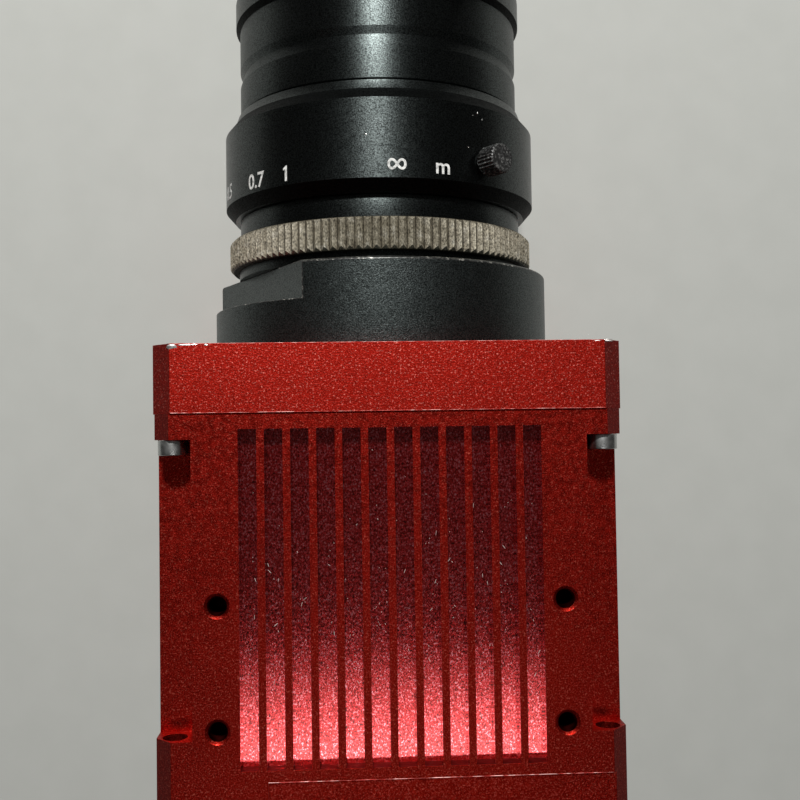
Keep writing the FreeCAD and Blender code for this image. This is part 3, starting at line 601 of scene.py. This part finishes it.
def lens_rings():
    """Focus, iris and front rings whose chamfers get a nearly glossless black as painted shade, and the adapter with
    its rubbed front edge.
    """
    for node, body, black in (
            ("focus_ring", "focus", LENS_BLACK), ("iris_ring", "iris", LENS_BLACK),
            ("front_ring", "barrel", FRONT_BLACK)):
        ring = dressed(node, [black, black, SHADED_CHAMFER_BLACK], body, 0.12)
        paint(ring, 2, lambda place, normal, index: 0.5 < abs(normal.y) < 0.9 and index == 0)
    adapter = dressed(
        "adapter_ring", [ADAPTER_BLACK, ADAPTER_BLACK, WORN_BLACK], "camera", 0.12,
        turn=adapter_turn)
    paint(adapter, 2, lambda place, normal, index:
          index == 1 and place.y > 6.0 and math.hypot(place.x, place.z) > 20)


# ---- lettering -----------------------------------------------------------------------------------------
def flat_text(text, height):
    """Vertices and faces of a text in its own plane, in millimetres, centred on its middle."""
    curve = bpy.data.curves.new("text", "FONT")
    curve.body = text
    curve.align_x = "CENTER"
    curve.align_y = "CENTER"
    curve.size = height / 0.70
    curve.offset = 0.045
    curve.resolution_u = 3
    holder = bpy.data.objects.new("text", curve)
    bpy.context.scene.collection.objects.link(holder)
    mesh = bpy.data.meshes.new_from_object(holder)
    bpy.data.objects.remove(holder)
    vertices = [(v.co.x, v.co.y) for v in mesh.vertices]
    faces = [tuple(p.vertices) for p in mesh.polygons]
    return vertices, faces


def infinity(width, stroke):
    """A lemniscate ribbon as vertices and faces."""
    count = 48

    def along_loop(angle):
        part = 1 + math.sin(angle) ** 2
        across, up = math.cos(angle) / part, 1.5 * math.sin(angle) * math.cos(angle) / part
        return Vector((across, up)) * ((width - stroke) / 2)

    vertices = []
    for i in range(count):
        angle = math.tau * i / count
        place = along_loop(angle)
        along = (along_loop(angle + 0.01) - along_loop(angle - 0.01)).normalized()
        side = Vector((-along.y, along.x)) * (stroke / 2)
        vertices += [tuple(place - side), tuple(place + side)]
    faces = [(2 * i, 2 * i + 1, (2 * i + 3) % (2 * count), (2 * i + 2) % (2 * count)) for i in range(count)]
    return vertices, faces


def figure_one(height, stroke):
    """The figure 1: a stem with a short flag."""
    top = height / 2
    stem = stroke / 2
    vertices = [
        (-stem, -top), (stem, -top), (stem, top), (-stem * 0.2, top), (-stem, top - 0.42),
        (-stem * 2.6, top - 0.62), (-stem * 2.6, top - 0.36)]
    return vertices, [(0, 1, 2, 4), (4, 2, 3), (4, 3, 6, 5)]


def lettering(name, shape, radius, degrees, y, body):
    """A flat shape laid round the lens as a thin layer of paint."""
    vertices, faces = shape
    count = len(vertices)
    layers = []
    for lift in (0.002, 0.018):
        for x, up in vertices:
            layers.append(on_cylinder(radius + lift, degrees + math.degrees(x / radius), y + up))
    solid = [tuple(reversed(face)) for face in faces] + [tuple(v + count for v in face) for face in faces]
    edges = dict.fromkeys(edge for face in faces for edge in zip(face, face[1:] + face[:1]))
    solid += [(a, b, b + count, a + count) for a, b in edges if (b, a) not in edges]
    return piece_from(name, layers, solid, WHITE, body)


def focus_scale():
    """The distances in metres on the focus ring, from near to far."""
    figure = 2.1
    line = focus_rear + 3.1
    marks = (("0.5", -72.5, 0.3), ("0.7", -49.0, 0.0), ("m", 19.6, 0.2))
    for i, (text, degrees, shift) in enumerate(marks):
        lettering("distance_%d" % (i + 1), flat_text(text, figure), focus_radius, degrees, line + shift, "focus")
    lettering("distance_one", figure_one(figure, 0.36), focus_radius, -34.5, line + 0.1, "focus")
    lettering("distance_far", infinity(2.6, 0.34), focus_radius, 4.0, line + 0.3, "focus")


# ---- threads in the tapped holes -----------------------------------------------------------------------
def thread_liner(name, place, axis):
    """Thread ridges in a tapped hole: a tube whose bore is a row of V ridges, in a near-black red that paints the
    hole's shade.
    """
    ridge_height = 0.14
    wall = tap_radius - 0.01
    root = tap_radius - 0.03
    turns = int(thread_depth / thread_pitch)
    outline = []
    for i in range(turns):
        outline.append((root, i * thread_pitch))
        outline.append((root - ridge_height, (i + 0.5) * thread_pitch))
    outline += [(root, turns * thread_pitch), (wall, turns * thread_pitch), (wall, 0.0)]
    segments = 40
    side = axis.orthogonal().normalized()
    across = axis.cross(side)
    vertices = []
    for i in range(segments):
        angle = math.tau * i / segments
        out = side * math.cos(angle) + across * math.sin(angle)
        vertices += [place + (out * r + axis * d) * MM for r, d in outline]
    rows = len(outline)
    faces = []
    for i in range(segments):
        a = i * rows
        b = (i + 1) % segments * rows
        faces += [(a + k, a + (k + 1) % rows, b + (k + 1) % rows, b + k) for k in range(rows)]
    return piece_from(name, vertices, faces, HOLE_SHADE_RED, "camera", 20)


def tapped_threads():
    """A liner in each of the eight tapped holes, on top and underneath."""
    holes = [(side, x, y) for side in (1, -1) for x in (-tap_x, tap_x) for y in tap_rows]
    for i, (side, x, y) in enumerate(holes):
        thread_liner(
            "tap_thread_%d" % (i + 1), spot(x, y, side * (housing_half - 0.45)), Vector((0, 0, -side)))


# ---- wear ----------------------------------------------------------------------------------------------
def flake(name, centre, across, along, normal, length, width, material, body, points=11):
    """A thin irregular flake lying on a surface."""
    rim = []
    for i in range(points):
        angle = math.tau * i / points
        reach = chance.uniform(0.65, 1.0)
        rim.append(centre + (across * math.cos(angle) * length / 2 + along * math.sin(angle) * width / 2) * reach * MM)
    thickness = 0.02 * MM
    low = [point - normal * thickness for point in rim]
    top = [centre + (point - centre) * 0.8 + normal * thickness for point in rim]
    vertices = low + rim + top
    faces = [tuple(range(points - 1, -1, -1)), tuple(range(2 * points, 3 * points))]
    for i in range(points):
        n = (i + 1) % points
        faces.append((i, n, points + n, points + i))
        faces.append((points + i, points + n, 2 * points + n, 2 * points + i))
    return piece_from(name, vertices, faces, material, body, 60)


def edge_chips():
    """Bare metal along the plate's front top edge, near its two corners."""
    for i, (x, length, width) in enumerate((
            (-27.2, 1.7, 0.6), (-25.4, 2.4, 0.2), (-24.4, 1.2, 0.12), (-22.95, 0.75, 0.28), (28.0, 1.5, 0.2),
            (26.6, 1.0, 0.12))):
        for kind, normal, along, place in (
                ("top", Vector((0, 0, 1)), Vector((0, 1, 0)), spot(x, -0.1 - width / 2, plate_half)),
                ("front", Vector((0, 1, 0)), Vector((0, 0, 1)), spot(x, 0, plate_half - 0.1 - width / 2))):
            flake("edge_chip_%s_%d" % (kind, i + 1), place, Vector((1, 0, 0)), along, normal, length, width, BARE_METAL,
                  "camera")


def groove_lint():
    """Short pale scratches and lint on the groove floors."""
    for i in range(130):
        groove = chance.randrange(groove_count)
        x = (groove - (groove_count - 1) / 2) * groove_pitch + chance.uniform(-1.0, 1.0)
        y = chance.triangular(-51.0, -13.0, -34.0)
        turn = chance.uniform(-0.9, 0.9)
        along = Vector((math.sin(turn), math.cos(turn), 0))
        across = Vector((along.y, -along.x, 0))
        length = chance.choice((0.12, 0.16, 0.22, 0.35, 0.8))
        flake("lint_%d" % (i + 1), spot(x, y, housing_half - groove_depth + 0.01), across, along, Vector((0, 0, 1)),
              0.07, length, LINT, "camera", 7)


def lens_chips():
    """Paint chips on the focus ring beside the lock screw and a nick in its front half."""
    for i, (degrees, y, length, width) in enumerate((
            (-5.9, 28.3, 0.36, 0.30), (33.3, 35.3, 0.34, 0.3), (31.5, 31.9, 0.30, 0.16), (33.6, 32.4, 0.22, 0.5),
            (35.6, 31.6, 0.18, 0.4), (29.5, 27.4, 0.25, 0.14))):
        radius = focus_radius if y < focus_chamfer else focus_radius - 1.75
        angle = math.radians(degrees)
        normal = Vector((math.sin(angle), 0, math.cos(angle)))
        body = "focus" if y < focus_front else "barrel"
        flake("lens_chip_%d" % (i + 1), on_cylinder(radius + 0.005, degrees, y), Vector((normal.z, 0, -normal.x)),
              Vector((0, 1, 0)), normal, length, width, BARE_METAL, body)


finish_cad_nodes()
body_shells()
lens_tubes()
lens_rings()
focus_scale()
tapped_threads()
edge_chips()
groove_lint()
lens_chips()


# ---- camera, lights and floor ---------------------------------------------------------------------------
def set_camera():
    """A camera above the housing that looks almost straight down."""
    camera = bpy.data.objects.new("camera", bpy.data.cameras.new("camera"))
    bpy.context.scene.collection.objects.link(camera)
    camera.data.lens = 45.45
    camera.data.sensor_width = 36.0
    camera.data.clip_start = 0.01
    place = spot(-5.063, -11.481, 157.007)
    turn = Euler([math.radians(angle) for angle in (1.8670, -2.8258, -0.8267)])
    camera.matrix_world = Matrix.Translation(place) @ turn.to_matrix().to_4x4()
    bpy.context.scene.camera = camera


def area_light(name, place, target, size_x, size_y, power, color=(1.0, 1.0, 1.0)):
    """A rectangular lamp in metres and watts, aimed at a point."""
    light = bpy.data.lights.new(name, "AREA")
    light.shape = "RECTANGLE"
    light.size = size_x
    light.size_y = size_y
    light.energy = power
    light.color = color
    lamp = bpy.data.objects.new(name, light)
    bpy.context.scene.collection.objects.link(lamp)
    lamp.location = place
    lamp.rotation_euler = (target - place).to_track_quat("-Z", "Y").to_euler()


def set_lights():
    """A key lamp in front, and thin strips behind that the groove floors mirror."""
    area_light("key", Vector((-0.03, 0.40, 0.46)), Vector((0, 0, 0.05)), 0.06, 0.06, 4.4, (1.0, 0.995, 0.97))
    x, first_y, height, width, pitch = 0.015, -0.127, 0.46, 0.18, 0.011
    for i, power in enumerate((0.0009, 0.0028, 0.0064, 0.0115, 0.0175, 0.0240, 0.0260)):
        y = first_y - pitch * i
        area_light("rear_top_%d" % i, Vector((x, y, height)), Vector((x, y, 0.0)), width, pitch, power)
    world = bpy.data.worlds.new("world")
    world.use_nodes = True
    world.node_tree.nodes["Background"].inputs["Color"].default_value = (1.0, 0.97, 0.92, 1.0)
    world.node_tree.nodes["Background"].inputs["Strength"].default_value = 0.04
    bpy.context.scene.world = world


def set_floor():
    """A pale matte table under the camera."""
    material = shader("table", (0.48, 0.485, 0.465), 0.85)
    pale = blend(material, noise(material, 140, 3), (0.452, 0.460, 0.438), (0.466, 0.474, 0.452))
    seen = add(material, "LightPath").outputs["Is Camera Ray"]
    use(material, "Base Color", blend(material, seen, (0.36, 0.365, 0.35), pale))
    reach = 3.0
    mesh = bpy.data.meshes.new("table")
    corners = [(-reach, -reach, 0), (reach, -reach, 0), (reach, reach, 0), (-reach, reach, 0)]
    mesh.from_pydata(corners, [], [(0, 1, 2, 3)])
    mesh.materials.append(material)
    table = bpy.data.objects.new("table", mesh)
    bpy.context.scene.collection.objects.link(table)


set_camera()
set_lights()
set_floor()
bpy.context.scene.view_settings.view_transform = "Standard"
